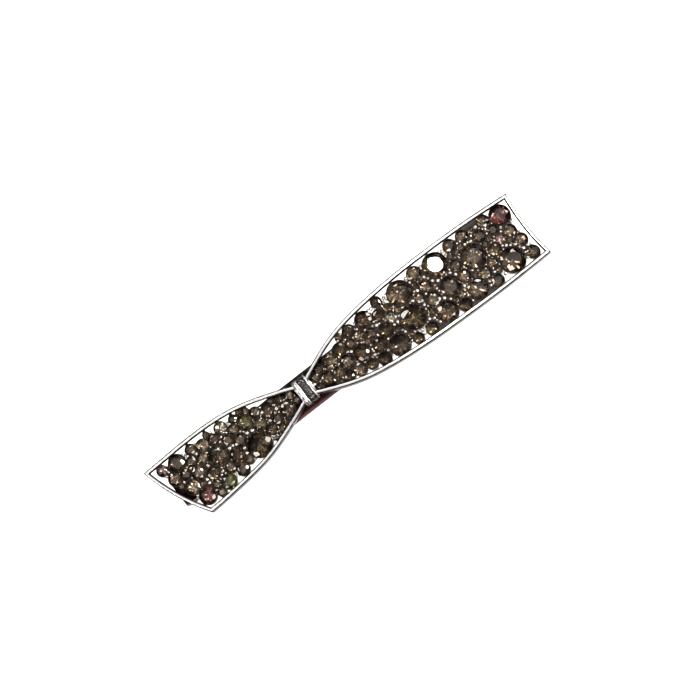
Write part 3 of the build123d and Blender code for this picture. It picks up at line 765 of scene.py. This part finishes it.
def build_floor():
    """Plain white floor that the clip stands on; reflections and glass see it darker."""
    material, tree, shader = new_material("white_floor")
    shader.inputs["Roughness"].default_value = 0.9
    shader.inputs["Specular IOR Level"].default_value = 0.0
    shader.inputs["Emission Color"].default_value = (1, 1, 1, 1)
    path = add_node(tree, "ShaderNodeLightPath")
    tone = ramp(tree, path.outputs["Is Camera Ray"], [
        (0.0, (FLOOR_TONE_MIRRORED,) * 3),
        (1.0, (FLOOR_TONE_SEEN,) * 3),
    ])
    tree.links.new(tone, shader.inputs["Base Color"])
    glow = remap(tree, path.outputs["Is Camera Ray"], 0.0, FLOOR_GLOW)
    tree.links.new(glow, shader.inputs["Emission Strength"])
    bpy.ops.mesh.primitive_plane_add(size=FLOOR_SIZE, location=(0, 0, -FLOOR_DROP))
    floor = bpy.context.object
    floor.name = "floor"
    floor.data.materials.append(material)


def area_light(name, position, size, power, colour=(1, 1, 1)):
    """A soft square light that looks at the clip."""
    data = bpy.data.lights.new(name, "AREA")
    data.size = size
    data.energy = power
    data.color = colour
    light = bpy.data.objects.new(name, data)
    light.location = position
    light.rotation_euler = (-Vector(position)).to_track_quat("-Z", "Y").to_euler()
    bpy.context.scene.collection.objects.link(light)


KEY_DISTANCE = 0.5
KEY_SIZE = 0.035
KEY_POWER = 1.4
FILL_PLACE = (0.30, -0.10, 0.30)
FILL_SIZE = 0.06
FILL_POWER = 1.2
WORLD_STRENGTH = 5.0
PATCH_CELLS = 6.0
# The patches fade out between these heights of the sky
PATCH_TOP = 0.84
PATCH_FULL = 0.78


def build_light(stones):
    """A bright ring overhead in a dark room with small bright patches, and two lamps."""
    world = bpy.data.worlds.new("studio")
    world.use_nodes = True
    bpy.context.scene.world = world
    tree = world.node_tree
    background = tree.nodes["Background"]
    place = add_node(tree, "ShaderNodeTexCoord")
    height = axes(tree, place.outputs["Generated"])["Z"]
    dome = ramp(tree, height, [
        (0.0, (0.01, 0.01, 0.01)),
        (0.73, (0.02, 0.02, 0.02)),
        (0.79, (0.26, 0.255, 0.25)),
        (0.94, (0.26, 0.255, 0.25)),
        (0.965, (0.05, 0.05, 0.05)),
    ])
    cells = add_node(tree, "ShaderNodeTexVoronoi", Scale=PATCH_CELLS)
    tree.links.new(place.outputs["Generated"], cells.inputs["Vector"])
    patches = ramp(tree, cells.outputs["Distance"], [
        (0.25, (3.6, 3.4, 3.1)),
        (0.3, (0.0, 0.0, 0.0)),
    ])
    glow = add_node(tree, "ShaderNodeMix", data_type="RGBA", blend_type="ADD")
    tree.links.new(between(tree, height, PATCH_TOP, PATCH_FULL), glow.inputs["Factor"])
    tree.links.new(dome, glow.inputs["A"])
    tree.links.new(patches, glow.inputs["B"])
    path = add_node(tree, "ShaderNodeLightPath")
    mix = add_node(tree, "ShaderNodeMix", data_type="RGBA")
    mix.inputs["B"].default_value = (1, 1, 1, 1)
    tree.links.new(path.outputs["Is Camera Ray"], mix.inputs["Factor"])
    tree.links.new(glow.outputs["Result"], mix.inputs["A"])
    tree.links.new(mix.outputs["Result"], background.inputs["Color"])
    strength = remap(tree, path.outputs["Is Camera Ray"], WORLD_STRENGTH, 1.0)
    tree.links.new(strength, background.inputs["Strength"])
    centre, axis = [place[:2] for place in stones if near(place[0], *FLASH_PLACE)][0]
    to_camera = (camera_place() - centre).normalized()
    mirrored = axis * 2 * axis.dot(to_camera) - to_camera
    area_light("key", centre + mirrored * KEY_DISTANCE, KEY_SIZE, KEY_POWER)
    area_light("fill", FILL_PLACE, FILL_SIZE, FILL_POWER, (1.0, 0.97, 0.93))


SENSOR_WIDTH = 36
NEAREST_SEEN = 0.01


def build_camera():
    """Long lens almost straight above, rolled so that the clip climbs to the right."""
    data = bpy.data.cameras.new("camera")
    data.sensor_width = SENSOR_WIDTH
    data.lens = data.sensor_width * CAMERA_DISTANCE / PICTURE_WIDTH
    data.clip_start = NEAREST_SEEN
    camera = bpy.data.objects.new("camera", data)
    turn = Matrix((CAMERA_RIGHT, CAMERA_UP, CAMERA_BACK)).transposed().to_4x4()
    camera.matrix_world = Matrix.Translation(camera_place()) @ turn
    bpy.context.scene.collection.objects.link(camera)
    bpy.context.scene.camera = camera


# ------------------------------------------------------------------ putting it together

def dress(node, material):
    """Give a CAD node this material."""
    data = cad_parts[node].data
    data.materials.clear()
    data.materials.append(material)


casting = casting_metal()
steel = polished_metal("nickel_plate", (0.74, 0.73, 0.72), (0.58, 0.57, 0.57), (0.12, 0.3), ALONG)
spring = polished_metal("spring_steel", (0.62, 0.62, 0.63), (0.46, 0.46, 0.48), (0.2, 0.4), ALONG)
grain = polished_metal("seat_grain", (0.62, 0.58, 0.53), (0.30, 0.27, 0.24), (0.05, 0.2))
tin = polished_metal("solder", (0.50, 0.49, 0.47), (0.34, 0.33, 0.32), (0.35, 0.55))
dress("bow_frame", casting)
dress("solder_pads", tin)
dress("back_plate", plate_metal())
for node in ("hinge_pin", "clasp_arm", "catch_rivet"):
    dress(node, steel)
for node in ("tension_bar", "catch_base", "catch_leg_rear", "catch_leg_front"):
    dress(node, spring)

rim_line = resample(outer_rim_line(), BEAD_STEP)
build_rim_bead(ridged_metal("rim_bead_metal", 0.84, 0.95), rim_line)
build_knot(ridged_metal("knot_wire_metal", 0.68, 0.96))
glass = crystal()
mirror = foil()
stones = []
for node in sorted(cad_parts):
    if node.startswith("stones_"):
        places = stone_places(node)
        build_stones(node, places, glass, mirror)
        stones += places
build_grains(grain, rim_line, stones)

build_floor()
build_light(stones)
build_camera()
bpy.context.scene.view_settings.view_transform = "Standard"
